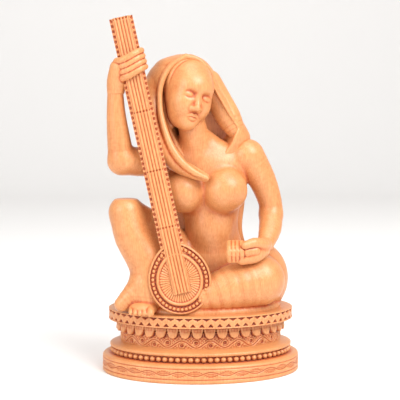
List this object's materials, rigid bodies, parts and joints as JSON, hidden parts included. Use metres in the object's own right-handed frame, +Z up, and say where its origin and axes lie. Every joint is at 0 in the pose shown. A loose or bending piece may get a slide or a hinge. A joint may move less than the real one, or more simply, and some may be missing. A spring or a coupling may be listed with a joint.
{
  "type": "carved wooden saint statue with lute",
  "caption": "Carved wooden figure of a veiled woman saint seated with a long-necked lute on an oval lotus plinth; stands free on its flat base.",
  "frame": {"origin": "middle of the plinth's flat underside", "axes": "+Z up, she faces -Y, her left hand is on the +X side"},
  "size_m": [0.143, 0.101, 0.254],
  "materials": {
    "carved_wood": "light hardwood, satin polish, brown stain left in the carved lines"
  },
  "bodies": {
    "root": {"saint_statue": "carved_wood"}
  },
  "joints": []
}
